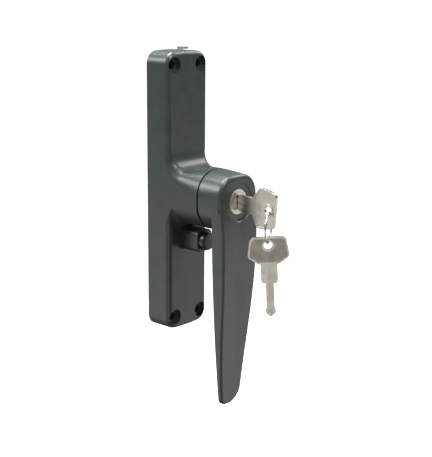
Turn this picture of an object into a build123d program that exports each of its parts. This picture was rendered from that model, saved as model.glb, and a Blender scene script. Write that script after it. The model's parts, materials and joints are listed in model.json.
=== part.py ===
from build123d import *
from math import cos, pi, radians, sin, sqrt, tan
import os

# Surface-mounted tilt-turn window handle with a key lock and a push button.
#
# The casing screws to the window's sash. Turning the lever turns a pinion, which
# lifts a rack, and the rack's driver pin moves the rods in the sash.
#
# Frame: the lever's axis runs along Y through the origin, the casing's back face
# is the plane Y = 0, the room is on the -Y side, and +Z is up. "Depth" is the
# distance in front of the back face, so Y = -depth. All sizes are millimetres.

# ---- casing ----------------------------------------------------------------
casing_width = 34.0
casing_height = 168.0
casing_depth = 17.3
casing_wall = 2.6
casing_corner_r = 7.5
casing_end_crown = 1.0  # how far the ends arch
casing_edge_r = 3.2  # soft front edges of the casting
casing_rim = 1.4  # rim left round the back plate
cavity_height = 132.0
cavity_corner_r = 3.0

# fixing holes
fixing_spacing_x = 22.0
fixing_spacing_z = 152.0
fixing_hole_r = 2.7  # clears an M5 screw
counterbore_r = 4.7
counterbore_depth = 3.0

# boss that carries the lever
boss_depth = 39.8
boss_root_top = 15.9  # height of the boss's flat top above the lever's axis
boss_root_corner_r = 8.5
boss_front_top = 17.0
boss_front_corner_r = 14.5
boss_widening = 0.2  # each side, from the casing's width at the root to the front
boss_top_fillet = 9.0
boss_under_fillet = 4.5
boss_under_edge_r = 2.0
boss_bottom_drop = 1.2  # how far the centre of the round bottom lies below the lever's axis
boss_under_swell = 0.2  # the lower half is trimmed by the boss's flat sides
fan_steps = 4  # sections in the boss's upper fillet

# ear of the back plate, folded over the casing's upper end
ear_left = 8.5
ear_right = 12.5
ear_thickness = 1.2
ear_depth = 5.5

# ---- lever -----------------------------------------------------------------
head_gap = 1.2  # space between boss and head, filled by the thrust washer
head_height = 16.4
head_narrowing = 0.8  # each side, from the head's back to its face
head_face_top = 15.3
head_face_corner_r = 12.0
head_edge_r = 2.6
lever_length = 125.2
lever_undercut = 9.3  # from the head's back to the lever's back
lever_swell = 1.5  # how far the lever's front stands past the head's face
lever_swell_reach = 0.14  # places along the lever, as parts of its length
lever_mid_reach = 0.45
lever_slim_reach = 0.55
lever_slim_part = 0.66
lever_tip_thickness = 2.8
lever_tip_arch = 0.4
lever_top_inset = 0.6
lever_mid_half_width = 14.0
lever_tip_half_width = 8.2
lever_tip_left_r = 5.0
lever_tip_right_r = 11.0  # the tip is rounded more on the side it turns to
lever_edge_r = 1.6
dish_r = 11.0  # round step that keeps the lock face clear
dish_floor_sink = 0.4
dish_cove = 2.0
hub_r = 10.0
hub_square = 12.0

# ---- drive -----------------------------------------------------------------
gear_module = 1.1
pinion_teeth = 20
gear_addendum = 1.0
gear_dedendum = 1.2
gear_backlash = 0.16
flank_steps = 5
root_overlap = 0.4  # how far a tooth reaches into the gear's body
pressure_angle = 20.0
pinion_back_depth = 5.0
pinion_thickness = 7.4
back_plate_thickness = 1.5
slide_gap = 0.3  # behind and beside the slide
slide_thickness = 2.4
slide_corner_r = 2.0
slide_half_width = 10.0
slide_length = 86.0
slide_top = 26.0  # upper end of the slide with the window closed
rack_length = 56.0
rack_top = 12.0
driver_pin_r = 4.0
driver_pin_reach = 10.0
driver_pin_chamfer = 0.6
driver_collar_step = 0.2
driver_collar_reach = 0.4
driver_rivet_r = 3.0
guide_length = 20.0
guide_centre = 20.0
guide_depth = 6.4
guide_chamfer = 0.5
index_notch_r = 1.6
index_spring_thickness = 0.6
index_spring_foot = 3.0
index_spring_bend = 1.2

# ---- bearings and washers ---------------------------------------------------
bush_wall = 2.15
bush_flange_r = 14.0
bush_flange_thickness = 1.5
thrust_washer_inset = 0.6
spring_washer_inset = 1.0
bush_window_reach = 1.5  # how far the bolt's windows pass the bush's wall
pocket_reach_past_bush = 1.2
spring_washer_thickness = 0.5

# ---- lock ------------------------------------------------------------------
lock_face_sink = 0.6  # lock face below the head's face
lock_r = 7.7
lock_length = 22.0
plug_r = 5.5
keyway_width = 2.4
keyway_height = 7.4
wafer_count = 5
wafer_thickness = 1.0
wafer_width = 4.6
wafer_pitch = 2.6
wafer_start = 4.5  # first wafer, behind the lock face
wafer_sink = 0.25  # below the plug's surface
wafer_corner_r = 0.6
wafer_groove_depth = 1.2
sleeve_chamfer = 0.3
tail_square = 3.6
cam_r = 5.2
cam_thickness = 1.3
cam_pin_r = 1.0
cam_pin_offset = 2.0
bolt_width = 8.4
bolt_thickness = 3.2
bolt_top = 5.5
bolt_corner_r = 1.2
bolt_gap = 0.2
keeper_gap = 0.3

# ---- keys ------------------------------------------------------------------
key_thickness = 2.2
bow_length = 15.8
bow_end_half_width = 10.2
bow_half_width = 12.1
bow_widest = 11.5  # distance of the widest place from the bow's end
bow_corner_r = 3.0
bow_shoulder = 1.2  # how far the bow's inner end stands past the neck
bow_hole_r = 2.5
bow_hole_centre = 5.0
bow_rim = 1.1
bow_relief = 0.3
neck_length = 11.3
neck_half_width = 4.8
blade_length = 20.2
blade_half_width = 2.3
ear_half_width = 2.85
ear_step = 1.0
ear_length = 2.6
key_point = 2.6
neck_chamfer = 0.8
blade_relief = 0.1
groove_lead = 6.0
groove_width = 1.1
groove_depth = 0.6
ring_r = 8.5
ring_wire_r = 0.6
ring_turn = 27.0  # plan angle of the ring from the X axis
spare_key_turn = 41.0  # plan angle of the spare key's normal
spare_key_lean = -3.5  # the spare key hangs a little askew
hang_gap = 0.25  # wire to the edge of a key's hole
key_droop = 3.5  # the loaded key sags in its keyway
key_pivot_reach = 4.8  # pivot of the sag, behind the lock face
key_seat_gap = 0.4  # the key's shoulder to the lock face

# ---- push button -----------------------------------------------------------
button_z = -27.5
button_r = 5.5
button_front_depth = 34.6
button_travel = 3.0
button_skirt = 6.0
button_edge_r = 1.0
stem_r = 2.0
stem_end_depth = 9.4
block_width = 12.6
block_height = 13.0
block_corner_r = 3.0
block_edge_r = 0.6
block_front_depth = 31.0
lip_overhang = 0.5
lip_thickness = 1.6
neck_r = 5.0
neck_end_depth = 11.5
nut_across_flats = 13.0
nut_thickness = 2.6
button_bore_depth = 21.5
button_spring_r = 3.6
button_spring_wire = 0.35
button_spring_turns = 5
clip_thickness = 0.6
clip_r = 3.7
clip_groove = 0.5
clip_opening = 2.6

# ---- screws and clearances ----------------------------------------------------
plate_screw_r = 1.5
plate_screw_head_r = 2.8
plate_screw_length = 8.0
plate_screw_z = 75.0
pinion_screw_r = 2.5
pinion_screw_head_r = 4.5
pinion_screw_length = 14.0
pinion_washer_r = 8.8
pinion_washer_thickness = 2.1
set_screw_r = 1.5
set_screw_length = 7.0
set_screw_rise = 4.5  # from the head's back
set_screw_bite = 0.8  # how far it enters the lock housing
set_screw_socket = 0.8
screw_slot = 0.8
running_gap = 0.05  # radial gap of a shaft in its bearing
small_gap = 0.1  # pieces that only lie against each other

os.makedirs("parts", exist_ok=True)

# ---- values that follow from the sizes above ---------------------------------
boss_root_half_width = casing_width / 2
boss_front_half_width = boss_root_half_width + boss_widening
boss_flare_z = boss_root_top + boss_top_fillet
boss_flare_depth = casing_depth + boss_top_fillet
boss_root_depth = casing_depth - 2 * casing_edge_r
cavity_half_width = casing_width / 2 - casing_wall
cavity_depth = casing_depth - casing_wall
end_corner_z = casing_height / 2 - casing_end_crown
head_back_depth = boss_depth + head_gap
head_face_depth = head_back_depth + head_height
head_face_half_width = boss_front_half_width - head_narrowing
lever_back_depth = head_back_depth + lever_undercut
lever_front_depth = head_face_depth + lever_swell
lever_top_half_width = head_face_half_width - lever_top_inset
lock_face_depth = head_face_depth - lock_face_sink
set_screw_depth = head_back_depth + set_screw_rise
key_pivot_depth = lock_face_depth - key_pivot_reach
bush_r = hub_r + bush_wall
pitch_r = gear_module * pinion_teeth / 2
tooth_pitch = pi * gear_module
quarter_stroke = pitch_r * pi / 2
slide_back_depth = back_plate_thickness + slide_gap
slide_front_depth = slide_back_depth + slide_thickness
driver_z = -quarter_stroke
pinion_front_depth = pinion_back_depth + pinion_thickness
rack_back_x = cavity_half_width - slide_gap
lock_back_depth = lock_face_depth - lock_length
cam_back_depth = lock_back_depth - running_gap - cam_thickness
bolt_front_depth = cam_back_depth - bolt_gap
bolt_back_depth = bolt_front_depth - bolt_thickness
bolt_end_z = -(hub_r - bolt_gap)
cam_pin_z = cam_pin_offset * sin(radians(45))
key_shoulder_depth = lock_face_depth + key_seat_gap
bow_end_depth = key_shoulder_depth + neck_length + bow_length
key_hole_reach = bow_end_depth - bow_hole_centre - key_pivot_depth
key_hole_depth = key_pivot_depth + key_hole_reach * cos(radians(key_droop))
key_hole_z = -key_hole_reach * sin(radians(key_droop))
wire_drop = bow_hole_r - ring_wire_r - hang_gap
ring_top_z = key_hole_z - wire_drop
ring_centre_z = ring_top_z - ring_r
ring_bottom_z = ring_centre_z - ring_r
spare_hole_z = ring_bottom_z - wire_drop


def at_depth(depth):
    """Plane parallel to the casing's face: local x is X, local y is Z."""
    return Plane.XZ.offset(depth)


def publish(node, name):
    """Label a finished piece and write its STEP file."""
    node.label = name
    export_step(node, "parts/" + name + ".step")


def casing_outline(inset=0.0):
    """Sketch of the casing's outline seen from the front."""
    half_width = casing_width / 2 - inset
    corner_z = end_corner_z - inset
    end_z = casing_height / 2 - inset
    with BuildSketch() as outline:
        with BuildLine():
            Line((half_width, -corner_z), (half_width, corner_z))
            ThreePointArc((half_width, corner_z), (0, end_z), (-half_width, corner_z))
            Line((-half_width, corner_z), (-half_width, -corner_z))
            ThreePointArc((-half_width, -corner_z), (0, -end_z), (half_width, -corner_z))
        make_face()
        fillet(outline.vertices(), casing_corner_r - inset)
    return outline.sketch


def under_flare(grow=0.0):
    """Lower half of the boss: half a cone that flares into the casing's face by an arc."""
    base_r = boss_root_half_width + boss_under_swell + grow
    front_r = boss_front_half_width + boss_under_swell + grow
    outer_r = base_r + boss_under_fillet
    flare_end = casing_depth + boss_under_fillet
    with BuildPart() as half:
        with BuildSketch(Plane.XY):
            with BuildLine():
                Line((0, -boss_root_depth), (outer_r, -boss_root_depth))
                Line((outer_r, -boss_root_depth), (outer_r, -casing_depth))
                RadiusArc((outer_r, -casing_depth), (base_r, -flare_end), -boss_under_fillet)
                Line((base_r, -flare_end), (front_r, -boss_depth))
                Line((front_r, -boss_depth), (0, -boss_depth))
                Line((0, -boss_depth), (0, -boss_root_depth))
            make_face()
        revolve(axis=Axis.Y)
        split(bisect_by=Plane.XY, keep=Keep.BOTTOM)
    return Pos(0, 0, -boss_bottom_drop) * half.part


def arch_section(plane, half_width, top, corner_r, base):
    """Sketch of a rectangle from base to top whose two upper corners are rounded."""
    with BuildSketch(plane) as arch:
        with BuildLine():
            Line((-half_width, base), (-half_width, top - corner_r))
            RadiusArc((-half_width, top - corner_r), (corner_r - half_width, top), corner_r)
            Line((corner_r - half_width, top), (half_width - corner_r, top))
            RadiusArc((half_width - corner_r, top), (half_width, top - corner_r), corner_r)
            Line((half_width, top - corner_r), (half_width, base))
            Line((half_width, base), (-half_width, base))
        make_face()
    return arch.sketch


def head_section(depth, half_width, top, corner_r):
    """Sketch of the lever's head: flattened top, round bottom."""
    with BuildSketch(at_depth(depth)) as section:
        with BuildLine():
            Line((-half_width, -boss_bottom_drop), (-half_width, top - corner_r))
            RadiusArc((-half_width, top - corner_r), (corner_r - half_width, top), corner_r)
            Line((corner_r - half_width, top), (half_width - corner_r, top))
            RadiusArc((half_width - corner_r, top), (half_width, top - corner_r), corner_r)
            Line((half_width, top - corner_r), (half_width, -boss_bottom_drop))
            bottom = (0, -half_width - boss_bottom_drop)
            ThreePointArc((half_width, -boss_bottom_drop), bottom, (-half_width, -boss_bottom_drop))
        make_face()
    return section.sketch


def fan_plane(turn):
    """Plane through the centre line of the boss's upper fillet; local y points at that line."""
    origin = (0, -boss_flare_depth, boss_flare_z)
    towards_line = Vector(0, -cos(radians(turn)), sin(radians(turn)))
    return Plane(origin=origin, x_dir=(1, 0, 0), z_dir=Vector(1, 0, 0).cross(towards_line))


def is_under_edge(edge):
    """True for the edges that the casing's sides cut on the boss's lower flare."""
    box = edge.bounding_box()
    on_flare = box.max.Y < small_gap - casing_depth and box.min.Y > -boss_flare_depth + boss_under_fillet / 2
    return edge.geom_type == GeomType.BSPLINE and on_flare and box.max.Z < small_gap and box.min.Z > -boss_root_half_width


# ============================================================================
# Casing
# ============================================================================
with BuildPart() as boss_core:
    # between the boss's sides: its lower half, and a strip under the corners of its upper half
    strip_top = min(boss_front_top - boss_front_corner_r, boss_root_top - boss_root_corner_r) - small_gap
    with BuildSketch(Plane.XY.offset(-casing_height / 2)):
        with BuildLine():
            Polyline(
                (-boss_root_half_width, -boss_root_depth),
                (boss_root_half_width, -boss_root_depth),
                (boss_root_half_width, -boss_flare_depth),
                (boss_front_half_width, -boss_depth),
                (-boss_front_half_width, -boss_depth),
                (-boss_root_half_width, -boss_flare_depth),
                close=True,
            )
        make_face()
    extrude(amount=casing_height / 2 + strip_top)
    bottom_plane = Plane.XY.offset(-boss_bottom_drop)
    boss_strip = split(bisect_by=bottom_plane, keep=Keep.TOP, mode=Mode.PRIVATE)
    add(under_flare(), mode=Mode.INTERSECT)

with BuildPart() as boss_fan:
    # the casing's edge rounding grows into the boss's corner rounding round the upper fillet
    for step in range(fan_steps + 1):
        share = step / fan_steps
        corner_r = casing_edge_r + (boss_root_corner_r - casing_edge_r) * share
        root = -boss_top_fillet - boss_root_top
        add(arch_section(fan_plane(90 * share), boss_root_half_width, -boss_top_fillet, corner_r, root))
    loft()

with BuildPart() as boss_top:
    add(arch_section(at_depth(boss_flare_depth), boss_root_half_width, boss_root_top, boss_root_corner_r, 0))
    add(arch_section(at_depth(boss_depth), boss_front_half_width, boss_front_top, boss_front_corner_r, 0))
    loft(ruled=True)

ear_seat_z = casing_height / 2
ear_mid_x = (ear_left + ear_right) / 2
ear_fold = 4 * casing_rim  # length of the ear's strip on the plate

with BuildPart() as casing:
    with BuildSketch(at_depth(0)):
        add(casing_outline())
    extrude(amount=casing_depth)
    fillet(casing.faces().sort_by(Axis.Y)[0].edges(), casing_edge_r)
    add([boss_core.part, boss_strip, boss_top.part, boss_fan.part])
    fillet(casing.edges().filter_by(is_under_edge), boss_under_edge_r)
    # hollow for the rack and pinion
    with BuildSketch(at_depth(0)):
        RectangleRounded(2 * cavity_half_width, cavity_height, cavity_corner_r)
    extrude(amount=cavity_depth, mode=Mode.SUBTRACT)
    # seat of the back plate, with a notch in the rim for its ear
    with BuildSketch(at_depth(0)):
        add(casing_outline(casing_rim))
    extrude(amount=back_plate_thickness, mode=Mode.SUBTRACT)
    with BuildSketch(at_depth(0)):
        with Locations((ear_mid_x, ear_seat_z - casing_rim)):
            Rectangle(ear_right - ear_left + 2 * small_gap, ear_fold)
    extrude(amount=back_plate_thickness, mode=Mode.SUBTRACT)
    # bore for the bush, and pockets that the lock bolt enters
    with BuildSketch(at_depth(cavity_depth)):
        Circle(bush_r)
    extrude(amount=boss_depth - cavity_depth, mode=Mode.SUBTRACT)
    pocket_reach = bush_r + pocket_reach_past_bush
    for pocket_plane_turn in (0, 90, 180):
        with BuildSketch(at_depth(bolt_back_depth - keeper_gap)):
            with PolarLocations(pocket_reach / 2, 1, pocket_plane_turn - 90):
                Rectangle(pocket_reach, bolt_width + 2 * keeper_gap)
        extrude(amount=bolt_thickness + 2 * keeper_gap, mode=Mode.SUBTRACT)
    # fixing screws enter from the front
    with Locations(at_depth(casing_depth)):
        with GridLocations(fixing_spacing_x, fixing_spacing_z, 2, 2):
            CounterBoreHole(fixing_hole_r, counterbore_r, counterbore_depth)
    # neck of the button block passes the front wall
    with BuildSketch(at_depth(cavity_depth)):
        with Locations((0, button_z)):
            Circle(neck_r + small_gap)
    extrude(amount=2 * casing_wall, mode=Mode.SUBTRACT)
    # threads of the back plate's screws
    with BuildSketch(at_depth(back_plate_thickness)):
        with GridLocations(0, 2 * plate_screw_z, 1, 2):
            Circle(plate_screw_r + running_gap)
    extrude(amount=plate_screw_length, mode=Mode.SUBTRACT)
publish(casing.part, "casing")

with BuildPart() as back_plate:
    with BuildSketch(at_depth(0)):
        add(casing_outline(casing_rim + small_gap))
        with GridLocations(fixing_spacing_x, fixing_spacing_z, 2, 2):
            Circle(fixing_hole_r, mode=Mode.SUBTRACT)
        slot_width = 2 * (driver_pin_r + slide_gap)
        SlotCenterToCenter(2 * quarter_stroke, slot_width, rotation=90, mode=Mode.SUBTRACT)
    extrude(amount=back_plate_thickness)
    # ear folded forward over the casing's upper end
    ear_top_z = ear_seat_z + small_gap + ear_thickness
    with BuildSketch(at_depth(0)):
        with Locations((ear_mid_x, ear_top_z)):
            Rectangle(ear_right - ear_left, ear_fold + casing_rim, align=(Align.CENTER, Align.MAX))
    extrude(amount=back_plate_thickness)
    with BuildSketch(at_depth(0)):
        with Locations((ear_mid_x, ear_top_z)):
            Rectangle(ear_right - ear_left, ear_thickness, align=(Align.CENTER, Align.MAX))
    extrude(amount=ear_depth)
    # countersunk screw holes, opened from the back
    with Locations(Plane.XZ.offset(0).rotated((180, 0, 0))):
        with GridLocations(0, 2 * plate_screw_z, 1, 2):
            CounterSinkHole(plate_screw_r + running_gap, plate_screw_head_r, depth=back_plate_thickness)
publish(back_plate.part, "back_plate")


def countersunk_screw(shank_r, head_r, length, back_depth):
    """Countersunk screw along +depth whose flat head lies at back_depth."""
    head_height = head_r - shank_r
    with BuildPart() as screw:
        with BuildSketch(at_depth(back_depth)):
            Circle(head_r)
        extrude(amount=head_height, taper=45)
        with BuildSketch(at_depth(back_depth)):
            Circle(shank_r)
        extrude(amount=length)
        with BuildSketch(at_depth(back_depth)):
            Rectangle(2 * head_r, screw_slot)
        extrude(amount=screw_slot, mode=Mode.SUBTRACT)
    return screw.part


plate_screw = countersunk_screw(plate_screw_r, plate_screw_head_r - running_gap, plate_screw_length, 0)
plate_screws = [Pos(0, 0, side * plate_screw_z) * plate_screw for side in (-1, 1)]
publish(Compound(children=plate_screws), "back_plate_screws")

# ============================================================================
# Bearings and washers
# ============================================================================
with BuildPart() as spindle_bush:
    with BuildSketch(at_depth(cavity_depth)):
        Circle(bush_r)
    extrude(amount=boss_depth - cavity_depth)
    with BuildSketch(at_depth(cavity_depth - bush_flange_thickness)):
        Circle(bush_flange_r)
    extrude(amount=bush_flange_thickness)
    with BuildSketch(at_depth(cavity_depth - bush_flange_thickness)):
        Circle(hub_r + running_gap)
    extrude(amount=boss_depth, mode=Mode.SUBTRACT)
    for window_turn in (0, 90, 180):
        with BuildSketch(at_depth(bolt_back_depth - keeper_gap)):
            with PolarLocations(bush_r, 1, window_turn - 90):
                Rectangle(2 * (bush_wall + bush_window_reach), bolt_width + 2 * keeper_gap)
        extrude(amount=bolt_thickness + 2 * keeper_gap, mode=Mode.SUBTRACT)
publish(spindle_bush.part, "spindle_bush")

with BuildPart() as thrust_washer:
    with BuildSketch(at_depth(boss_depth + running_gap)):
        Circle(boss_front_half_width - thrust_washer_inset)
        Circle(hub_r + small_gap, mode=Mode.SUBTRACT)
    extrude(amount=head_gap - 2 * running_gap)
publish(thrust_washer.part, "thrust_washer")

with BuildPart() as spring_washer:
    washer_gap = cavity_depth - bush_flange_thickness - pinion_front_depth
    washer_depth = pinion_front_depth + (washer_gap - spring_washer_thickness) / 2
    with BuildSketch(at_depth(washer_depth)):
        Circle(bush_flange_r - spring_washer_inset)
        Circle(hub_r + small_gap, mode=Mode.SUBTRACT)
    extrude(amount=spring_washer_thickness)
publish(spring_washer.part, "spring_washer")

# ============================================================================
# Rack and pinion
# ============================================================================


def involute_point(base_r, radius, half_angle):
    """Point of an involute flank at a radius; half_angle is the tooth's half at the base."""
    roll = sqrt(max(radius * radius / (base_r * base_r) - 1, 0))
    turn = half_angle - (roll - atan_of(roll))
    return (radius * cos(turn), radius * sin(turn))


def atan_of(value):
    """Arc tangent in radians, from the angle of a vector."""
    return radians(Vector(1, value, 0).get_angle(Vector(1, 0, 0)))


def tooth_outline():
    """Sketch of one pinion tooth on the +X side."""
    base_r = pitch_r * cos(radians(pressure_angle))
    tip_r = pitch_r + gear_addendum
    root_r = pitch_r - gear_dedendum - root_overlap
    pitch_half = (tooth_pitch / 2 - gear_backlash) / (2 * pitch_r)
    involute_at_pitch = tan(radians(pressure_angle)) - radians(pressure_angle)
    base_half = pitch_half + involute_at_pitch
    radii = [base_r + (tip_r - base_r) * step / flank_steps for step in range(flank_steps + 1)]
    flank = [involute_point(base_r, radius, base_half) for radius in radii]
    mirrored = [(x, -y) for x, y in flank]
    root = (root_r * cos(base_half), root_r * sin(base_half))
    with BuildSketch() as tooth:
        with BuildLine():
            Line(root, flank[0])
            Spline(*flank)
            ThreePointArc(flank[-1], (tip_r, 0), mirrored[-1])
            Spline(*reversed(mirrored))
            Line(mirrored[0], (root[0], -root[1]))
            Line((root[0], -root[1]), root)
        make_face()
    return tooth.sketch


pinion_tooth = tooth_outline()
with BuildPart() as pinion:
    with BuildSketch(at_depth(pinion_back_depth)):
        Circle(pitch_r - gear_dedendum)
        with PolarLocations(0, pinion_teeth):
            add(pinion_tooth)
        Rectangle(hub_square + small_gap, hub_square + small_gap, mode=Mode.SUBTRACT)
    extrude(amount=pinion_thickness)
    with BuildSketch(at_depth(pinion_back_depth)):
        Circle(pinion_washer_r + small_gap)
    extrude(amount=pinion_washer_thickness + small_gap, mode=Mode.SUBTRACT)
publish(pinion.part, "pinion")

pinion_screw_seat = pinion_back_depth + small_gap
hub_end_depth = pinion_screw_seat + pinion_washer_thickness
with BuildPart() as pinion_washer:
    with BuildSketch(at_depth(pinion_screw_seat)):
        Circle(pinion_washer_r)
    extrude(amount=pinion_washer_thickness - running_gap)
    with BuildSketch(at_depth(pinion_screw_seat)):
        Circle(pinion_screw_head_r + running_gap)
    extrude(amount=pinion_screw_head_r - pinion_screw_r, taper=45, mode=Mode.SUBTRACT)
    with BuildSketch(at_depth(pinion_screw_seat)):
        Circle(pinion_screw_r + running_gap)
    extrude(amount=pinion_washer_thickness, mode=Mode.SUBTRACT)
publish(pinion_washer.part, "pinion_washer")

pinion_screw = countersunk_screw(pinion_screw_r, pinion_screw_head_r, pinion_screw_length, pinion_screw_seat)
publish(pinion_screw, "pinion_screw")

with BuildPart() as drive_slide:
    slide_mid_z = slide_top - slide_length / 2
    with BuildSketch(at_depth(slide_back_depth)):
        with Locations((-slide_half_width, slide_mid_z)):
            Rectangle(slide_half_width + rack_back_x, slide_length, align=(Align.MIN, Align.CENTER))
        fillet(vertices(), slide_corner_r)
        # notches that the index spring drops into at closed, turn and tilt
        notch_spots = [(-slide_half_width, -stop * quarter_stroke) for stop in range(3)]
        with Locations(*notch_spots):
            Circle(index_notch_r, mode=Mode.SUBTRACT)
        with Locations((0, driver_z)):
            Circle(driver_rivet_r, mode=Mode.SUBTRACT)
    extrude(amount=slide_thickness)
    # rack along the right-hand edge
    rack_tip_x = pitch_r - gear_addendum
    rack_root_x = pitch_r + gear_dedendum
    flank_lean = tan(radians(pressure_angle))
    space_at_tip = tooth_pitch / 2 + gear_backlash + 2 * gear_addendum * flank_lean
    space_at_root = tooth_pitch / 2 + gear_backlash - 2 * gear_dedendum * flank_lean
    with BuildSketch(at_depth(slide_front_depth)):
        with Locations((rack_tip_x, rack_top)):
            Rectangle(rack_back_x - rack_tip_x, rack_length, align=(Align.MIN, Align.MAX))
        with BuildSketch(mode=Mode.PRIVATE) as tooth_space:
            with BuildLine():
                Polyline(
                    (rack_tip_x, space_at_tip / 2),
                    (rack_tip_x, -space_at_tip / 2),
                    (rack_root_x, -space_at_root / 2),
                    (rack_root_x, space_at_root / 2),
                    close=True,
                )
            make_face()
        spaces_above = int(rack_top / tooth_pitch)
        spaces_below = int((rack_length - rack_top) / tooth_pitch)
        space_spots = [(0, step * tooth_pitch) for step in range(-spaces_below, spaces_above + 1)]
        with Locations(*space_spots):
            add(tooth_space.sketch, mode=Mode.SUBTRACT)
    extrude(amount=pinion_front_depth - slide_front_depth)
publish(drive_slide.part, "drive_slide")

with BuildPart() as driver_pin:
    with BuildSketch(Plane.XZ.offset(-driver_pin_reach)):
        with Locations((0, driver_z)):
            Circle(driver_pin_r - running_gap)
    extrude(amount=driver_pin_reach)
    chamfer(driver_pin.faces().sort_by(Axis.Y)[-1].edges(), driver_pin_chamfer)
    # collar between the slide and the window, which runs in the back plate's slot
    with BuildSketch(Plane.XZ.offset(-driver_collar_reach)):
        with Locations((0, driver_z)):
            Circle(driver_pin_r + driver_collar_step)
    extrude(amount=driver_collar_reach + slide_back_depth)
    # rivet shank in the slide
    with BuildSketch(at_depth(slide_back_depth)):
        with Locations((0, driver_z)):
            Circle(driver_rivet_r - running_gap)
    extrude(amount=slide_thickness)
publish(driver_pin.part, "driver_pin")

slide_guides = []
for side in (-1, 1):
    with BuildPart() as guide:
        with BuildSketch(at_depth(back_plate_thickness + small_gap)):
            with Locations((-(cavity_half_width - small_gap), side * guide_centre)):
                guide_width = cavity_half_width - slide_half_width - small_gap - slide_gap
                Rectangle(guide_width, guide_length, align=(Align.MIN, Align.CENTER))
        extrude(amount=guide_depth - back_plate_thickness)
        chamfer(guide.edges().filter_by(Axis.Y), guide_chamfer)
    slide_guides.append(guide.part)
publish(Compound(children=slide_guides), "slide_guides")

with BuildPart() as index_spring:
    spring_back_x = -(cavity_half_width - 2 * small_gap)
    spring_tip_x = -(slide_half_width + 2 * small_gap)
    spring_end_z = guide_centre - guide_length / 2 - small_gap
    with BuildSketch(at_depth(slide_back_depth)):
        with BuildLine() as leaf:
            FilletPolyline(
                (spring_back_x, spring_end_z),
                (spring_back_x, spring_end_z - index_spring_foot),
                (spring_tip_x, 0),
                (spring_back_x, index_spring_foot - spring_end_z),
                (spring_back_x, -spring_end_z),
                radius=index_spring_bend,
            )
            offset(amount=index_spring_thickness, side=Side.LEFT)
        make_face()
    extrude(amount=slide_thickness)
publish(index_spring.part, "index_spring")

# ============================================================================
# Lever
# ============================================================================
with BuildPart() as lever_blade:
    with BuildSketch(at_depth(lever_back_depth)) as lever_blade_outline:
        with BuildLine():
            right_top = (lever_top_half_width, 0)
            right_mid = (lever_mid_half_width, -lever_mid_reach * lever_length)
            right_tip = (lever_tip_half_width, lever_tip_arch - lever_length)
            ThreePointArc(right_top, right_mid, right_tip)
            ThreePointArc(right_tip, (0, -lever_length), (-right_tip[0], right_tip[1]))
            ThreePointArc((-right_tip[0], right_tip[1]), (-right_mid[0], right_mid[1]), (-right_top[0], 0))
            Line((-right_top[0], 0), right_top)
        make_face()
        fillet(lever_blade_outline.vertices().sort_by(Axis.Y)[0:2].sort_by(Axis.X)[-1], lever_tip_right_r)
        fillet(lever_blade_outline.vertices().sort_by(Axis.X)[0:2].sort_by(Axis.Y)[0], lever_tip_left_r)
    extrude(amount=lever_front_depth - lever_back_depth + lever_swell)
    # the front swells below the head and thins towards the tip
    with BuildSketch(Plane.YZ.offset(-lever_top_half_width)):
        with BuildLine():
            tip_depth = lever_back_depth + lever_tip_thickness
            crown_depth = lever_front_depth - lever_back_depth - lever_tip_thickness
            Spline(
                (-head_face_depth, 0),
                (-lever_front_depth, -lever_swell_reach * lever_length),
                (-(tip_depth + lever_slim_part * crown_depth), -lever_slim_reach * lever_length),
                (-tip_depth, -lever_length),
            )
            Line((-tip_depth, -lever_length), (-lever_back_depth, -lever_length))
            Line((-lever_back_depth, -lever_length), (-lever_back_depth, 0))
            Line((-lever_back_depth, 0), (-head_face_depth, 0))
        make_face()
    extrude(amount=2 * lever_top_half_width, mode=Mode.INTERSECT)
    blade_front = lever_blade.faces().filter_by(GeomType.PLANE, reverse=True).sort_by(Axis.Y)[0]
    fillet(blade_front.edges().filter_by(lambda edge: edge.bounding_box().min.Z < -1), lever_edge_r)

with BuildPart() as lever_head:
    add(head_section(head_back_depth, boss_front_half_width, boss_front_top, boss_front_corner_r))
    add(head_section(head_face_depth, head_face_half_width, head_face_top, head_face_corner_r))
    loft(ruled=True)
    fillet(lever_head.faces().sort_by(Axis.Y)[0].edges(), head_edge_r)

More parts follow.
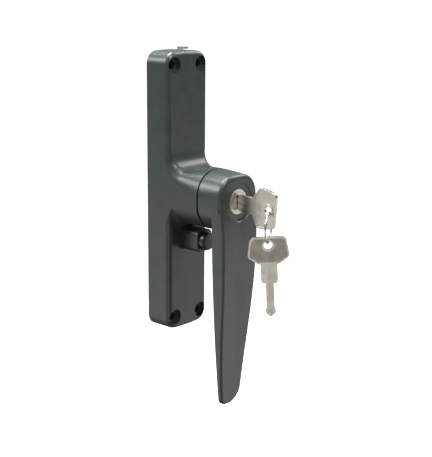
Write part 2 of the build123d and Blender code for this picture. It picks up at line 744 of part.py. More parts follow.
with BuildPart() as handle_lever:
    add([lever_head.part, lever_blade.part])
    # round step in the blade, concentric with the lock
    with BuildSketch(Plane.XY):
        with BuildLine():
            floor_depth = head_face_depth - dish_floor_sink
            rim_depth = floor_depth + dish_cove
            open_depth = rim_depth + lever_swell
            Line((0, -floor_depth), (dish_r, -floor_depth))
            RadiusArc((dish_r, -floor_depth), (dish_r + dish_cove, -rim_depth), -dish_cove)
            Line((dish_r + dish_cove, -rim_depth), (dish_r + dish_cove, -open_depth))
            Line((dish_r + dish_cove, -open_depth), (0, -open_depth))
            Line((0, -open_depth), (0, -floor_depth))
        make_face()
    revolve(axis=Axis.Y, mode=Mode.SUBTRACT)
    # hub through the boss, with a square end for the pinion
    with BuildSketch(at_depth(pinion_front_depth + small_gap)):
        Circle(hub_r)
    extrude(amount=head_back_depth - pinion_front_depth)
    with BuildSketch(at_depth(hub_end_depth)):
        Rectangle(hub_square, hub_square)
    extrude(amount=pinion_thickness)
    with BuildSketch(at_depth(pinion_back_depth)):
        Circle(pinion_screw_r + running_gap)
    extrude(amount=pinion_screw_length + pinion_washer_thickness, mode=Mode.SUBTRACT)
    # bore for the lock, down to the slot of the bolt
    with BuildSketch(at_depth(bolt_front_depth)):
        Circle(lock_r + running_gap)
    extrude(amount=lever_front_depth, mode=Mode.SUBTRACT)
    slot_top = bolt_top + bolt_gap
    with BuildSketch(at_depth(bolt_back_depth - bolt_gap)):
        with Locations((0, slot_top)):
            Rectangle(bolt_width + 2 * bolt_gap, slot_top + 2 * hub_r, align=(Align.CENTER, Align.MAX))
    extrude(amount=bolt_thickness + 2 * bolt_gap, mode=Mode.SUBTRACT)
    # threaded hole of the set screw, from below into the lock bore
    with BuildSketch(Plane.XY.offset(-2 * boss_front_half_width)):
        with Locations((0, -set_screw_depth)):
            Circle(set_screw_r + running_gap)
    extrude(amount=2 * boss_front_half_width, mode=Mode.SUBTRACT)
publish(handle_lever.part, "handle_lever")

# ============================================================================
# Lock
# ============================================================================
wafer_height = 2 * (plug_r - wafer_sink)
wafer_depths = [lock_face_depth - wafer_start - step * wafer_pitch for step in range(wafer_count)]
set_screw_top = -(lock_r - set_screw_bite)

with BuildPart() as lock_housing:
    with BuildSketch(at_depth(lock_back_depth)):
        Circle(lock_r)
        Circle(plug_r + running_gap, mode=Mode.SUBTRACT)
    extrude(amount=lock_length)
    chamfer(lock_housing.faces().sort_by(Axis.Y)[0].edges().sort_by(SortBy.RADIUS)[-1], sleeve_chamfer)
    # grooves that raised wafers would enter, above and below the plug
    with BuildSketch(at_depth(wafer_depths[-1] - wafer_thickness)):
        Rectangle(wafer_width + 2 * bolt_gap, 2 * (plug_r + wafer_groove_depth))
    extrude(amount=wafer_depths[0] - wafer_depths[-1] + 3 * wafer_thickness, mode=Mode.SUBTRACT)
    with BuildSketch(Plane.XY.offset(-2 * lock_r)):
        with Locations((0, -set_screw_depth)):
            Circle(set_screw_r + running_gap)
    extrude(amount=2 * lock_r + set_screw_top + small_gap, mode=Mode.SUBTRACT)
publish(lock_housing.part, "lock_housing")

with BuildPart() as set_screw:
    with BuildSketch(Plane.XY.offset(set_screw_top)):
        with Locations((0, -set_screw_depth)):
            Circle(set_screw_r)
    extrude(amount=-set_screw_length)
    with BuildSketch(Plane.XY.offset(set_screw_top - set_screw_length)):
        with Locations((0, -set_screw_depth)):
            RegularPolygon(set_screw_socket, 6)
    extrude(amount=2 * set_screw_socket, mode=Mode.SUBTRACT)
publish(set_screw.part, "lock_set_screw")

with BuildPart() as lock_plug:
    with BuildSketch(at_depth(lock_back_depth)):
        Circle(plug_r)
    extrude(amount=lock_length)
    with BuildSketch(at_depth(cam_back_depth)):
        Rectangle(tail_square, tail_square)
    extrude(amount=cam_thickness + running_gap)
    with BuildSketch(at_depth(lock_face_depth)):
        Rectangle(keyway_width, keyway_height)
    extrude(amount=-(blade_length + key_seat_gap), mode=Mode.SUBTRACT)
    for depth in wafer_depths:
        with BuildSketch(at_depth(depth - running_gap)):
            Rectangle(wafer_width + 2 * running_gap, 3 * plug_r)
        extrude(amount=wafer_thickness + 2 * running_gap, mode=Mode.SUBTRACT)
publish(lock_plug.part, "lock_plug")

wafers = []
for depth in wafer_depths:
    with BuildPart() as wafer:
        with BuildSketch(at_depth(depth)):
            RectangleRounded(wafer_width, wafer_height, wafer_corner_r)
            Rectangle(keyway_width, keyway_height, mode=Mode.SUBTRACT)
        extrude(amount=wafer_thickness)
    wafers.append(wafer.part)
publish(Compound(children=wafers), "lock_wafers")

with BuildPart() as lock_cam:
    with BuildSketch(at_depth(cam_back_depth)):
        Circle(cam_r)
    extrude(amount=cam_thickness)
    cam_pin_x = -cam_pin_z
    with BuildSketch(at_depth(bolt_back_depth + bolt_gap)):
        with Locations((cam_pin_x, cam_pin_z)):
            Circle(cam_pin_r)
    extrude(amount=cam_back_depth - bolt_back_depth)
    with BuildSketch(at_depth(cam_back_depth)):
        Rectangle(tail_square + small_gap, tail_square + small_gap)
    extrude(amount=cam_thickness, mode=Mode.SUBTRACT)
publish(lock_cam.part, "lock_cam")

with BuildPart() as lock_bolt:
    with BuildSketch(at_depth(bolt_back_depth)):
        with Locations((0, bolt_top)):
            Rectangle(bolt_width, bolt_top - bolt_end_z, align=(Align.CENTER, Align.MAX))
        fillet(vertices(), bolt_corner_r)
        Circle(hub_r - bolt_gap, mode=Mode.INTERSECT)
        # the cam pin's slot: the pin sweeps sideways in it as it moves the bolt
        yoke_left = -cam_pin_offset - cam_pin_r - bolt_gap
        yoke_right = -cam_pin_z + cam_pin_r + bolt_gap
        with Locations(((yoke_left + yoke_right) / 2, cam_pin_z)):
            Rectangle(yoke_right - yoke_left, 2 * (cam_pin_r + bolt_gap), mode=Mode.SUBTRACT)
    extrude(amount=bolt_thickness)
publish(lock_bolt.part, "lock_bolt")

# ============================================================================
# Keys
# ============================================================================


def bow_outline():
    """Sketch of the key's bow; x runs from the bow's end towards the blade."""
    with BuildSketch() as bow:
        with BuildLine():
            Polyline(
                (0, -bow_end_half_width),
                (bow_widest, -bow_half_width),
                (bow_length, -neck_half_width - bow_shoulder),
                (bow_length, neck_half_width + bow_shoulder),
                (bow_widest, bow_half_width),
                (0, bow_end_half_width),
                close=True,
            )
        make_face()
        corners = bow.vertices().group_by(Axis.X)
        fillet(corners[0], bow_corner_r)
        fillet(bow.vertices().group_by(Axis.X)[-2:], bow_corner_r)
    return bow.sketch


def make_key(plane):
    """A flat key whose local origin is the end of its bow."""
    neck_end = bow_length + neck_length
    tip = neck_end + blade_length
    point_start = tip - key_point
    ear_start = point_start - ear_length
    with BuildPart() as key:
        with BuildSketch(Plane.XY):
            add(bow_outline())
        extrude(amount=key_thickness / 2, both=True)
        with BuildSketch(Plane.XY):
            with BuildLine():
                Polyline(
                    (bow_length - bow_rim, -neck_half_width),
                    (neck_end - 2 * neck_chamfer, -neck_half_width),
                    (neck_end, neck_chamfer - neck_half_width),
                    (neck_end, -blade_half_width),
                    (ear_start, -blade_half_width),
                    (ear_start + ear_step, -ear_half_width),
                    (point_start, -ear_half_width),
                    (tip, 0),
                    (point_start, ear_half_width),
                    (ear_start + ear_step, ear_half_width),
                    (ear_start, blade_half_width),
                    (neck_end, blade_half_width),
                    (neck_end, neck_half_width - neck_chamfer),
                    (neck_end - 2 * neck_chamfer, neck_half_width),
                    (bow_length - bow_rim, neck_half_width),
                    close=True,
                )
            make_face()
        extrude(amount=key_thickness / 2 - blade_relief, both=True)
        for face_z, direction in ((key_thickness / 2, -1), (-key_thickness / 2, 1)):
            # sunk field of the bow, which leaves a raised rim
            with BuildSketch(Plane.XY.offset(face_z)):
                add(bow_outline())
                offset(amount=-bow_rim, mode=Mode.REPLACE)
                with Locations((bow_hole_centre, 0)):
                    Circle(bow_hole_r + bow_rim, mode=Mode.SUBTRACT)
            extrude(amount=direction * bow_relief, mode=Mode.SUBTRACT)
            # groove along the blade
            with BuildSketch(Plane.XY.offset(face_z)):
                with Locations((neck_end - groove_lead, 0)):
                    groove_length = blade_length + groove_lead - key_point
                    Rectangle(groove_length, groove_width, align=(Align.MIN, Align.CENTER))
            extrude(amount=direction * groove_depth, mode=Mode.SUBTRACT)
        with BuildSketch(Plane.XY.offset(-key_thickness)):
            with Locations((bow_hole_centre, 0)):
                Circle(bow_hole_r)
        extrude(amount=2 * key_thickness, mode=Mode.SUBTRACT)
    return plane * key.part


lock_key_plane = Plane(origin=(0, -bow_end_depth, 0), x_dir=(0, 1, 0), z_dir=(1, 0, 0))
key_pivot = Pos(0, -key_pivot_depth, 0)
lock_key = key_pivot * Rot(X=key_droop) * key_pivot.inverse() * make_key(lock_key_plane)
publish(lock_key, "key")

spare_normal = (cos(radians(spare_key_turn)), sin(radians(spare_key_turn)), 0)
spare_top_z = spare_hole_z + bow_hole_centre
spare_origin = (0, -key_hole_depth, spare_top_z)
spare_key_plane = Plane(origin=spare_origin, x_dir=(0, 0, -1), z_dir=spare_normal)
spare_hole = Plane(origin=(0, -key_hole_depth, spare_hole_z), x_dir=(0, 0, -1), z_dir=spare_normal)
lean = spare_hole.location * Rot(Z=spare_key_lean) * spare_hole.location.inverse()
spare_key = lean * make_key(spare_key_plane)
publish(spare_key, "spare_key")

ring_direction = (cos(radians(ring_turn)), sin(radians(ring_turn)), 0)
ring_normal = (-ring_direction[1], ring_direction[0], 0)
ring_centre = (0, -key_hole_depth, ring_centre_z)
ring_plane = Plane(origin=ring_centre, x_dir=ring_direction, z_dir=ring_normal)
with BuildPart() as key_ring:
    Torus(ring_r, ring_wire_r)
publish(ring_plane * key_ring.part, "key_ring")

# ============================================================================
# Push button
# ============================================================================
with BuildPart() as button_housing:
    with BuildSketch(at_depth(casing_depth)):
        with Locations((0, button_z)):
            RectangleRounded(block_width, block_height, block_corner_r)
    extrude(amount=block_front_depth - casing_depth)
    fillet(button_housing.faces().sort_by(Axis.Y)[0].edges(), block_edge_r)
    with BuildSketch(at_depth(casing_depth)):
        with Locations((0, button_z)):
            lip_width = block_width + 2 * lip_overhang
            lip_height = block_height + 2 * lip_overhang
            RectangleRounded(lip_width, lip_height, block_corner_r + lip_overhang)
    extrude(amount=lip_thickness)
    # the block stands clear of the boss's flare
    add(under_flare(grow=small_gap), mode=Mode.SUBTRACT)
    with BuildSketch(at_depth(neck_end_depth)):
        with Locations((0, button_z)):
            Circle(neck_r)
    extrude(amount=casing_depth - neck_end_depth)
    with BuildSketch(at_depth(button_bore_depth)):
        with Locations((0, button_z)):
            Circle(button_r + running_gap)
    extrude(amount=block_front_depth, mode=Mode.SUBTRACT)
    with BuildSketch(at_depth(neck_end_depth)):
        with Locations((0, button_z)):
            Circle(stem_r + running_gap)
    extrude(amount=block_front_depth, mode=Mode.SUBTRACT)
publish(button_housing.part, "button_housing")

with BuildPart() as housing_nut:
    with BuildSketch(at_depth(cavity_depth - small_gap)):
        with Locations((0, button_z)):
            RegularPolygon(nut_across_flats / 2, 6, major_radius=False)
            Circle(neck_r + running_gap, mode=Mode.SUBTRACT)
    extrude(amount=-nut_thickness)
publish(housing_nut.part, "housing_nut")

with BuildPart() as push_button:
    with BuildSketch(at_depth(button_front_depth - button_skirt)):
        with Locations((0, button_z)):
            Circle(button_r)
    extrude(amount=button_skirt)
    fillet(push_button.faces().sort_by(Axis.Y)[0].edges(), button_edge_r)
    with BuildSketch(at_depth(stem_end_depth)):
        with Locations((0, button_z)):
            Circle(stem_r)
    extrude(amount=button_front_depth - button_skirt - stem_end_depth)
    clip_depth = neck_end_depth - small_gap - clip_thickness
    with BuildSketch(at_depth(clip_depth - running_gap)):
        with Locations((0, button_z)):
            Circle(stem_r + small_gap)
            Circle(stem_r - clip_groove, mode=Mode.SUBTRACT)
    extrude(amount=clip_thickness + 2 * running_gap, mode=Mode.SUBTRACT)
publish(push_button.part, "push_button")

with BuildPart() as button_clip:
    with BuildSketch(at_depth(clip_depth)):
        with Locations((0, button_z)):
            Circle(clip_r)
            Circle(stem_r - clip_groove + running_gap, mode=Mode.SUBTRACT)
        with Locations((0, button_z - clip_r)):
            Rectangle(clip_opening, 2 * clip_r, mode=Mode.SUBTRACT)
    extrude(amount=clip_thickness)
publish(button_clip.part, "button_clip")

spring_start = button_bore_depth + button_spring_wire + small_gap
spring_end = button_front_depth - button_skirt - button_spring_wire - small_gap
spring_height = spring_end - spring_start
spring_axis_plane = Plane(origin=(0, -spring_start, button_z), x_dir=(1, 0, 0), z_dir=(0, -1, 0))
with BuildPart() as button_spring:
    with BuildLine() as coil:
        Helix(pitch=spring_height / button_spring_turns, height=spring_height, radius=button_spring_r)
    coil_start = coil.line @ 0
    coil_plane = Plane(origin=coil_start, z_dir=coil.line % 0)
    with BuildSketch(coil_plane):
        Circle(button_spring_wire)
    sweep(path=coil.line)
publish(spring_axis_plane * button_spring.part, "button_spring")
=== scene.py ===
# %% [markdown]
# # Tilt turn handle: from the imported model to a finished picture
#
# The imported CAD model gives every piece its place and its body. This script gives each piece
# its looks. The outer pieces are copied and their edges softened, because a casting never has
# a knife edge. Every piece then gets a material made of shader nodes.
#
# All lengths are metres. The lever's axis runs along Y through the origin, the window is on the
# +Y side, the room on the -Y side, and Z points up.

import json
from math import cos, radians, sin

import bpy
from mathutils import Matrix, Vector


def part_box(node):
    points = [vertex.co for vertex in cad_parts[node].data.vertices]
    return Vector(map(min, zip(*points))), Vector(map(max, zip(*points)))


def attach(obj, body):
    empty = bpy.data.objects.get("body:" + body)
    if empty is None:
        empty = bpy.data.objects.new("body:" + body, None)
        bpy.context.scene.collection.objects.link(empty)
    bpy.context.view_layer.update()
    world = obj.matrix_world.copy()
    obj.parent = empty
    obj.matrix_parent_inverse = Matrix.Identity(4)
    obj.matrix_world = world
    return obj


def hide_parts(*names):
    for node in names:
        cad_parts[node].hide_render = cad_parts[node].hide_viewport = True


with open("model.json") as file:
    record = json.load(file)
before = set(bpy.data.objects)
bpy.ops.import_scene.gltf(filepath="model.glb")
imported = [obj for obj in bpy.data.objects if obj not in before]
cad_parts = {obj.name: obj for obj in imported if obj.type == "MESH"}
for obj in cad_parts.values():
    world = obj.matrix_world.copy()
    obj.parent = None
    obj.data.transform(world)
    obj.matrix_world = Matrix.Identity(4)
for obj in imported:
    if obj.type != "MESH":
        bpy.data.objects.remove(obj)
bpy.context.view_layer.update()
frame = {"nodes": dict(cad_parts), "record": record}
MM = 0.001
bodies = frame["record"]["behaviour"]["bodies"]
body_of_node = {node: body for body, nodes in bodies.items() for node in nodes}
slot_of_node = {part["node"]: part["material_slot"] for part in frame["record"]["subparts"]}
print("nodes:", len(body_of_node))

# %% [markdown]
# ## Helpers for shapes
#
# Each helper is one modelling step: copy a node, merge its flats, soften its edges. They use
# Blender's own operators, so the same steps can be done by hand. An operator acts on all that
# is selected, so `select_only` comes first in each of them.


# %% select one piece
def select_only(piece):
    """Make the piece the only selected and the active object."""
    bpy.ops.object.select_all(action="DESELECT")
    piece.select_set(True)
    bpy.context.view_layer.objects.active = piece


def tell(piece):
    """Print how many faces a piece has."""
    print(piece.name, "faces:", len(piece.data.polygons))


print("helper ready: select_only")

# %% [markdown]
# A imported node's mesh is loose triangles. A bevel needs to know which faces are neighbours, so
# the copy's doubled corners are welded. The copy then takes over the node's body and place.

# %% copy a node
WELD_GAP = 0.004 * MM


def copy_node(node, name):
    """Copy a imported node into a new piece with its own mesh, and weld its seams."""
    source = frame["nodes"][node]
    piece = bpy.data.objects.new(name, source.data.copy())
    piece.data.name = name
    piece.data.materials.clear()
    bpy.context.collection.objects.link(piece)
    select_only(piece)
    bpy.ops.object.mode_set(mode="EDIT")
    bpy.ops.mesh.select_all(action="SELECT")
    bpy.ops.mesh.remove_doubles(threshold=WELD_GAP)
    bpy.ops.mesh.customdata_custom_splitnormals_clear()
    bpy.ops.object.mode_set(mode="OBJECT")
    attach(piece, body_of_node[node])
    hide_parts(node)
    return piece


print("seams are welded up to", WELD_GAP, "m")

# %% [markdown]
# Flats are merged before the bevel, so that the rounding runs cleanly along whole edges and
# isn't cut up by the triangles of a flat face. The bevel rounds only edges that are sharper
# than an angle, which leaves the cast fillets alone. Weighted normals then keep flats flat.

# %% merge flats and soften edges
FLAT_ANGLE = radians(0.4)  # faces that differ less than this are one flat
SHARP_ANGLE = radians(28)  # edges that bend more than this are rounded
SMOOTH_ANGLE = radians(32)  # edges that bend less than this are shaded smooth


def merge_flats(piece):
    """Join the triangles of each flat face into one polygon."""
    select_only(piece)
    bpy.ops.object.mode_set(mode="EDIT")
    bpy.ops.mesh.select_all(action="SELECT")
    bpy.ops.mesh.dissolve_limited(angle_limit=FLAT_ANGLE)
    bpy.ops.object.mode_set(mode="OBJECT")


def soften(piece, width, segments=3):
    """Round every sharp edge, then shade the rest smooth."""
    select_only(piece)
    bevel = piece.modifiers.new("soft_edges", "BEVEL")
    bevel.width = width
    bevel.segments = segments
    bevel.limit_method = "ANGLE"
    bevel.angle_limit = SHARP_ANGLE
    bevel.use_clamp_overlap = True
    bpy.ops.object.modifier_apply(modifier=bevel.name)
    bpy.ops.object.shade_smooth_by_angle(angle=SMOOTH_ANGLE)
    weigh = piece.modifiers.new("flat_faces", "WEIGHTED_NORMAL")
    weigh.keep_sharp = True
    bpy.ops.object.modifier_apply(modifier=weigh.name)


def softened_copy(node, name, width, segments=3):
    """A welded copy of a node with its flats merged and its edges rounded."""
    piece = copy_node(node, name)
    merge_flats(piece)
    soften(piece, width, segments)
    tell(piece)
    return piece


print("helper ready: softened_copy")

# %% [markdown]
# ## Castings
#
# The casing is a long die casting with the boss that carries the lever. It could be built from
# a box with a bevel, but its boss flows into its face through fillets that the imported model
# already has, so a copy keeps them exactly. Powder coat rounds the remaining edges by about a
# third of a millimetre.

# %% casing
CASING_EDGE = 0.35 * MM
casing = softened_copy("casing", "casing_casting", CASING_EDGE, segments=2)

# %% [markdown]
# The lever is the piece that a hand holds, so its edges are rounder than the casing's.

# %% lever
LEVER_EDGE = 0.5 * MM
lever = softened_copy("handle_lever", "lever_casting", LEVER_EDGE)

# %% [markdown]
# Under the boss sits a small block with a round button. Small parts have small edges: on a
# piece this size, the lever's rounding would look like melted plastic.

# %% button block and button
BLOCK_EDGE = 0.3 * MM
BUTTON_EDGE = 0.2 * MM
block = softened_copy("button_housing", "button_block", BLOCK_EDGE)
button = softened_copy("push_button", "button_cap", BUTTON_EDGE)

# %% [markdown]
# The lock's sleeve and plug are turned parts. A lathe leaves a small chamfer on every rim, and
# the bevel stands for it. It catches the thin bright ring that tells metal from paint.

# %% lock
SLEEVE_EDGE = 0.25 * MM
PLUG_EDGE = 0.15 * MM
sleeve = softened_copy("lock_housing", "lock_sleeve", SLEEVE_EDGE)
plug = softened_copy("lock_plug", "lock_plug_turned", PLUG_EDGE, segments=2)

# %% [markdown]
# Keys are stamped from sheet and tumbled, which rounds their edges all along.

# %% keys
KEY_EDGE = 0.22 * MM
lock_key = softened_copy("key", "key_in_lock", KEY_EDGE)
hanging_key = softened_copy("spare_key", "hanging_key", KEY_EDGE)

# %% [markdown]
# The hanging key's bow has a sunk field inside a raised rim. The field gets a finish of its own:
# its darker colour is painted shade for the shade that falls into the sunk field, and it is also
# a little rougher. Its faces are found by what they are: parallel to the key's middle plane, at the
# field's depth.

# %% sunk field of the hanging key's bow
FIELD_OFFSET = 0.8 * MM  # from the key's middle plane
FIELD_TOLERANCE = 0.06 * MM
FACING = 0.9  # how squarely a face has to look along the normal, where 1 is fully
SPARE_KEY_TURN = radians(41)
spare_normal = Vector((cos(SPARE_KEY_TURN), sin(SPARE_KEY_TURN), 0))
low_corner, high_corner = (Vector(corner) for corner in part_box("spare_key"))
spare_middle = (low_corner + high_corner) / 2


def field_faces(key, normal, middle):
    """Faces of the bow's sunk field, found by their distance from the key's middle plane."""
    found = []
    for face in key.data.polygons:
        away = abs((face.center - middle).dot(normal))
        if abs(face.normal.dot(normal)) > FACING and abs(away - FIELD_OFFSET) < FIELD_TOLERANCE:
            found.append(face)
    return found


spare_field = field_faces(hanging_key, spare_normal, spare_middle)
print("field faces:", len(spare_field))

# %% [markdown]
# ## Helpers for materials
#
# A shader is a graph of nodes, and maths in it takes one node for each sum. `Value` wraps a
# socket, so that the maths reads like ordinary maths and adds its nodes by itself.


# %% shader maths
class Value:
    """An output socket that can be added to and multiplied."""

    def __init__(self, recipe, socket):
        self.recipe = recipe
        self.socket = socket

    def maths(self, operation, first, second):
        node = self.recipe.node("ShaderNodeMath", {"operation": operation}, {0: first, 1: second})
        return Value(self.recipe, node.outputs[0])

    def __add__(self, other):
        return self.maths("ADD", self, other)

    def __radd__(self, other):
        return self.maths("ADD", other, self)

    def __mul__(self, other):
        return self.maths("MULTIPLY", self, other)

    def __rmul__(self, other):
        return self.maths("MULTIPLY", other, self)


def around(middle, spread, value):
    """A value from 0 to 1 moved to lie around a middle, spread this far from end to end."""
    return middle - spread / 2 + value * spread


print("helper ready: Value")

# %% [markdown]
# `Recipe` builds one material. Its `node` method adds any node from its type, settings and
# socket values. Patterns read Object coordinates in millimetres, so a grain of half a
# millimetre is just that on every piece, whatever the piece's size.

# %% material recipe
MM_PER_METRE = 1000


class Recipe:
    """One node material, with its Principled shader ready."""

    def __init__(self, name):
        self.material = bpy.data.materials.new(name)
        self.material.use_nodes = True
        self.tree = self.material.node_tree
        self.shader = self.tree.nodes["Principled BSDF"]

    def node(self, kind, settings=None, values=None):
        made = self.tree.nodes.new(kind)
        for key, setting in (settings or {}).items():
            setattr(made, key, setting)
        for key, value in (values or {}).items():
            self.put(made.inputs[key], value)
        return made

    def put(self, socket, value):
        if isinstance(value, Value):
            self.tree.links.new(value.socket, socket)
        elif isinstance(value, bpy.types.NodeSocket):
            self.tree.links.new(value, socket)
        else:
            socket.default_value = value

    def place(self, stretch):
        """Object coordinates in millimetres, stretched along each axis."""
        place = self.node("ShaderNodeTexCoord").outputs["Object"]
        scale = [MM_PER_METRE * s for s in stretch]
        mapping = self.node("ShaderNodeMapping", {}, {"Vector": place, "Scale": scale})
        return mapping.outputs["Vector"]

    def noise(self, size_mm, detail=3.0, stretch=(1, 1, 1)):
        """Noise from 0 to 1 with lumps of about this size."""
        values = {"Vector": self.place(stretch), "Scale": 1 / size_mm, "Detail": detail}
        return Value(self, self.node("ShaderNodeTexNoise", {}, values).outputs["Fac"])

    def ramp(self, value, stops):
        """Colour that runs from the first stop to the second along a value."""
        ramp = self.node("ShaderNodeValToRGB", {}, {"Fac": value})
        for element, (position, colour) in zip(ramp.color_ramp.elements, stops):
            element.position = position
            element.color = (*colour, 1)
        return ramp.outputs["Color"]

    def bump(self, height, strength, distance_mm):
        """Surface relief from a height value."""
        values = {"Height": height, "Strength": strength, "Distance": distance_mm * MM}
        return self.node("ShaderNodeBump", {}, values).outputs["Normal"]

    def finish(self, **inputs):
        """Connect the Principled shader's inputs and return the material."""
        for key, value in inputs.items():
            self.put(self.shader.inputs[key.replace("_", " ")], value)
        return self.material


print("helper ready: Recipe")

# %% [markdown]
# ## Materials
#
# Powder coat is paint baked from a powder. It dries with a fine orange peel: grains of about
# half a millimetre on slower ripples. One noise could make the relief, but two sizes together
# break up the highlight the way the real coat does. A faint cloud in the colour keeps large
# faces from looking printed.

# %% powder coat
CLOUD_SHARE = 0.35
RIPPLE_SHARE = 0.6


def powder_coat(name, dark, light, roughness):
    """Satin powder coat: a fine orange-peel grain with faint cloudy patches."""
    recipe = Recipe(name)
    cloud = recipe.noise(size_mm=9.0, detail=2.0)
    grain = recipe.noise(size_mm=0.45)
    pattern = cloud * CLOUD_SHARE + grain * (1 - CLOUD_SHARE)
    relief = recipe.noise(size_mm=0.5, detail=2.0) + recipe.noise(size_mm=1.3, detail=1.0) * RIPPLE_SHARE
    return recipe.finish(
        Base_Color=recipe.ramp(pattern, [(0.32, dark), (0.68, light)]),
        Roughness=around(roughness, 0.12, grain),
        Specular_IOR_Level=0.5,
        Normal=recipe.bump(relief, strength=0.35, distance_mm=0.03),
    )


casting_paint = powder_coat("casting_paint", (0.036, 0.048, 0.044), (0.062, 0.077, 0.071), 0.34)
block_paint = powder_coat("block_paint", (0.030, 0.038, 0.036), (0.048, 0.056, 0.053), 0.36)
button_paint = powder_coat("button_paint", (0.022, 0.026, 0.026), (0.040, 0.045, 0.044), 0.28)
print("powder coats: 3")

# %% [markdown]
# Metal shows how it was worked. Rolling, turning and wear leave streaks along one direction,
# and handling leaves soft tarnish. The streaks are noise stretched along one axis: a stretch
# under 1 along an axis makes the lumps longer that way.


# %% metals
def metal(name, dark, light, roughness, streak_stretch=(1, 1, 1), streak_mm=0.4):
    """Worn metal: streaks along one direction and faint tarnish."""
    recipe = Recipe(name)
    tarnish = recipe.noise(size_mm=5.0, detail=4.0)
    streak = recipe.noise(streak_mm, stretch=streak_stretch)
    pattern = tarnish * 0.5 + streak * 0.5
    return recipe.finish(
        Base_Color=recipe.ramp(pattern, [(0.32, dark), (0.62, light)]),
        Metallic=1.0,
        Roughness=around(roughness, 0.16, streak),
        Normal=recipe.bump(streak, strength=0.25, distance_mm=0.02),
    )


nickel = metal("satin_nickel", (0.40, 0.38, 0.33), (0.66, 0.64, 0.57), 0.30, (1, 1, 0.15))
key_nickel = metal("key_nickel", (0.42, 0.39, 0.33), (0.66, 0.62, 0.54), 0.36, (1, 1, 0.2), 0.3)
# The bow field's darker colour is painted shade of the sunk field, not a different metal; only its
# higher roughness is its own.
bow_field_painted_shade = metal("bow_field_painted_shade", (0.24, 0.22, 0.18), (0.44, 0.41, 0.35), 0.42, (1, 1, 0.2), 0.3)
zinc = metal("zinc_plate", (0.50, 0.50, 0.48), (0.72, 0.72, 0.69), 0.34, (1, 0.2, 1))
screw_steel = metal("screw_steel", (0.42, 0.42, 0.40), (0.66, 0.66, 0.63), 0.30)
spring_steel = metal("spring_steel", (0.28, 0.29, 0.31), (0.46, 0.47, 0.49), 0.28)
gear_steel = metal("gear_steel", (0.24, 0.24, 0.25), (0.42, 0.42, 0.42), 0.36, (1, 0.15, 1))
brass = metal("wafer_brass", (0.55, 0.38, 0.14), (0.80, 0.62, 0.30), 0.32)
ring_wire = metal("ring_wire", (0.60, 0.60, 0.58), (0.85, 0.85, 0.83), 0.18)
print("metals: 9")

# %% [markdown]
# The guides and the washer in the joint are moulded. Moulded plastic has no streaks, only a
# faint mottle from the way it cooled.


# %% plastics
def plastic(name, dark, light, roughness):
    """Moulded plastic with a faint mottle."""
    recipe = Recipe(name)
    mottle = recipe.noise(size_mm=1.6)
    return recipe.finish(
        Base_Color=recipe.ramp(mottle, [(0.3, dark), (0.7, light)]),
        Roughness=roughness + mottle * 0.1,
        Normal=recipe.bump(recipe.noise(size_mm=0.4), strength=0.2, distance_mm=0.02),
    )


nylon = plastic("bearing_nylon", (0.62, 0.60, 0.53), (0.74, 0.72, 0.66), 0.45)
black_plastic = plastic("black_acetal", (0.008, 0.008, 0.009), (0.016, 0.016, 0.017), 0.5)
print("plastics: 2")

# %% [markdown]
# ## Which piece gets which finish
#
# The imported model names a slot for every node. One table turns slots into finishes, so no
# inner piece is left plain. The softened copies carry their own finishes.

# %% finish of each slot
finish_of_slot = {
    "dark_paint": casting_paint,
    "block_paint": block_paint,
    "button_paint": button_paint,
    "zinc_plate": zinc,
    "screw_steel": screw_steel,
    "spring_steel": spring_steel,
    "gear_steel": gear_steel,
    "bearing_plastic": nylon,
    "black_plastic": black_plastic,
    "nickel": nickel,
    "brass": brass,
    "ring_wire": ring_wire,
}
for node, part in frame["nodes"].items():
    for slot in part.material_slots:
        slot.material = finish_of_slot[slot_of_node[node]]
print("nodes with a finish:", len(frame["nodes"]))

# %% finish of each softened piece
FIELD_SLOT = 1
finishes_of_piece = [
    (casing, [casting_paint]),
    (lever, [casting_paint]),
    (block, [block_paint]),
    (button, [button_paint]),
    (sleeve, [nickel]),
    (plug, [nickel]),
    (lock_key, [key_nickel]),
    (hanging_key, [key_nickel, bow_field_painted_shade]),
]
for piece, finishes in finishes_of_piece:
    for finish in finishes:
        piece.data.materials.append(finish)
# The sunk field's faces take the darker finish: painted shade in the recess of the bow.
for face in spare_field:
    face.material_index = FIELD_SLOT
print("softened pieces with a finish:", len(finishes_of_piece))

# %% [markdown]
# ## Floor, light and camera
#
# The floor is a large plain plane half a metre below the handle. It shines by itself, so it
# stays evenly pale, and it is hidden from reflections and bounced light, so that it doesn't
# wash out the dark paint.

# %% floor
FLOOR_SIZE = 400
FLOOR_HEIGHT = -0.5
PALE = (1, 1, 1, 1)
bpy.context.scene.view_settings.view_transform = "Standard"
bpy.ops.mesh.primitive_plane_add(size=FLOOR_SIZE, location=(0, 0, FLOOR_HEIGHT))
floor = bpy.context.object
floor.name = "floor"
floor_finish = Recipe("pale_floor").finish(Base_Color=PALE, Emission_Color=PALE, Emission_Strength=1.0)
floor.data.materials.append(floor_finish)
floor.visible_glossy = False
floor.visible_diffuse = False
print("floor at", FLOOR_HEIGHT, "m")

# %% [markdown]
# A low even sky fills the shadows. Soft boxes do the rest. On satin paint, each box shows as a
# soft bright band along the edges that face it, so the boxes are placed by the bands they
# draw: the top box along the lever's shoulder, the side panel along the casing's flank.

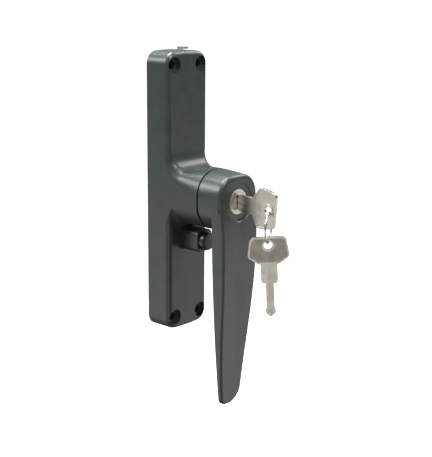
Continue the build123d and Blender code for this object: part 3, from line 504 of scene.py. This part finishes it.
# %% sky
SKY_COLOUR = (0.97, 0.99, 1.0, 1)
SKY_STRENGTH = 0.22
world = bpy.data.worlds.new("studio")
bpy.context.scene.world = world
world.use_nodes = True
sky = world.node_tree.nodes["Background"]
sky.inputs["Color"].default_value = SKY_COLOUR
sky.inputs["Strength"].default_value = SKY_STRENGTH
print("sky strength:", SKY_STRENGTH)

# %% soft boxes
HANDLE = (0, 0, 0)
HEAD = (0, -0.05, 0)
BUTTON_AREA = (0, -0.05, -0.08)
KEYS = (0, -0.08, -0.05)


def soft_box(name, place, aim, side, power):
    """A square soft box at a place, aimed at a point; lengths in metres, power in watts."""
    data = bpy.data.lights.new(name, "AREA")
    data.shape = "RECTANGLE"
    data.size = side
    data.size_y = side
    data.energy = power
    light = bpy.data.objects.new(name, data)
    light.location = place
    light.rotation_euler = (Vector(aim) - Vector(place)).to_track_quat("-Z", "Y").to_euler()
    bpy.context.collection.objects.link(light)
    return light


soft_boxes = [
    soft_box("back_left_box", place=(-0.66, 0.62, 0.60), aim=HANDLE, side=0.36, power=6.5),
    soft_box("side_panel", place=(-0.90, 0.55, -0.60), aim=HANDLE, side=0.9, power=3.1),
    soft_box("top_box", place=(0.05, 0.30, 1.0), aim=HANDLE, side=0.6, power=22),
    soft_box("right_top_box", place=(0.80, -0.10, 0.70), aim=HANDLE, side=0.5, power=5),
    soft_box("front_top_box", place=(-0.10, -0.55, 0.85), aim=HEAD, side=0.26, power=5),
    soft_box("low_box", place=(0.50, -0.55, -0.45), aim=BUTTON_AREA, side=0.7, power=1.8),
    soft_box("key_box", place=(-0.75, -0.60, -0.30), aim=KEYS, side=0.35, power=0.7),
]
print("soft boxes:", len(soft_boxes))

# %% [markdown]
# The camera looks a little down on the handle from its left. A long lens keeps the casing's
# edges nearly parallel.

# %% camera
LENS_MM = 78.8
SENSOR_MM = 36
CAMERA_PLACE = (-0.4308, -0.4197, 0.1184)
CAMERA_TURN = (76.58, -0.45, -48.49)  # degrees about X, Y and Z
camera_data = bpy.data.cameras.new("camera")
camera_data.lens = LENS_MM
camera_data.sensor_width = SENSOR_MM
camera = bpy.data.objects.new("camera", camera_data)
camera.location = CAMERA_PLACE
camera.rotation_euler = [radians(turn) for turn in CAMERA_TURN]
bpy.context.collection.objects.link(camera)
bpy.context.scene.camera = camera
print("camera at", CAMERA_PLACE)
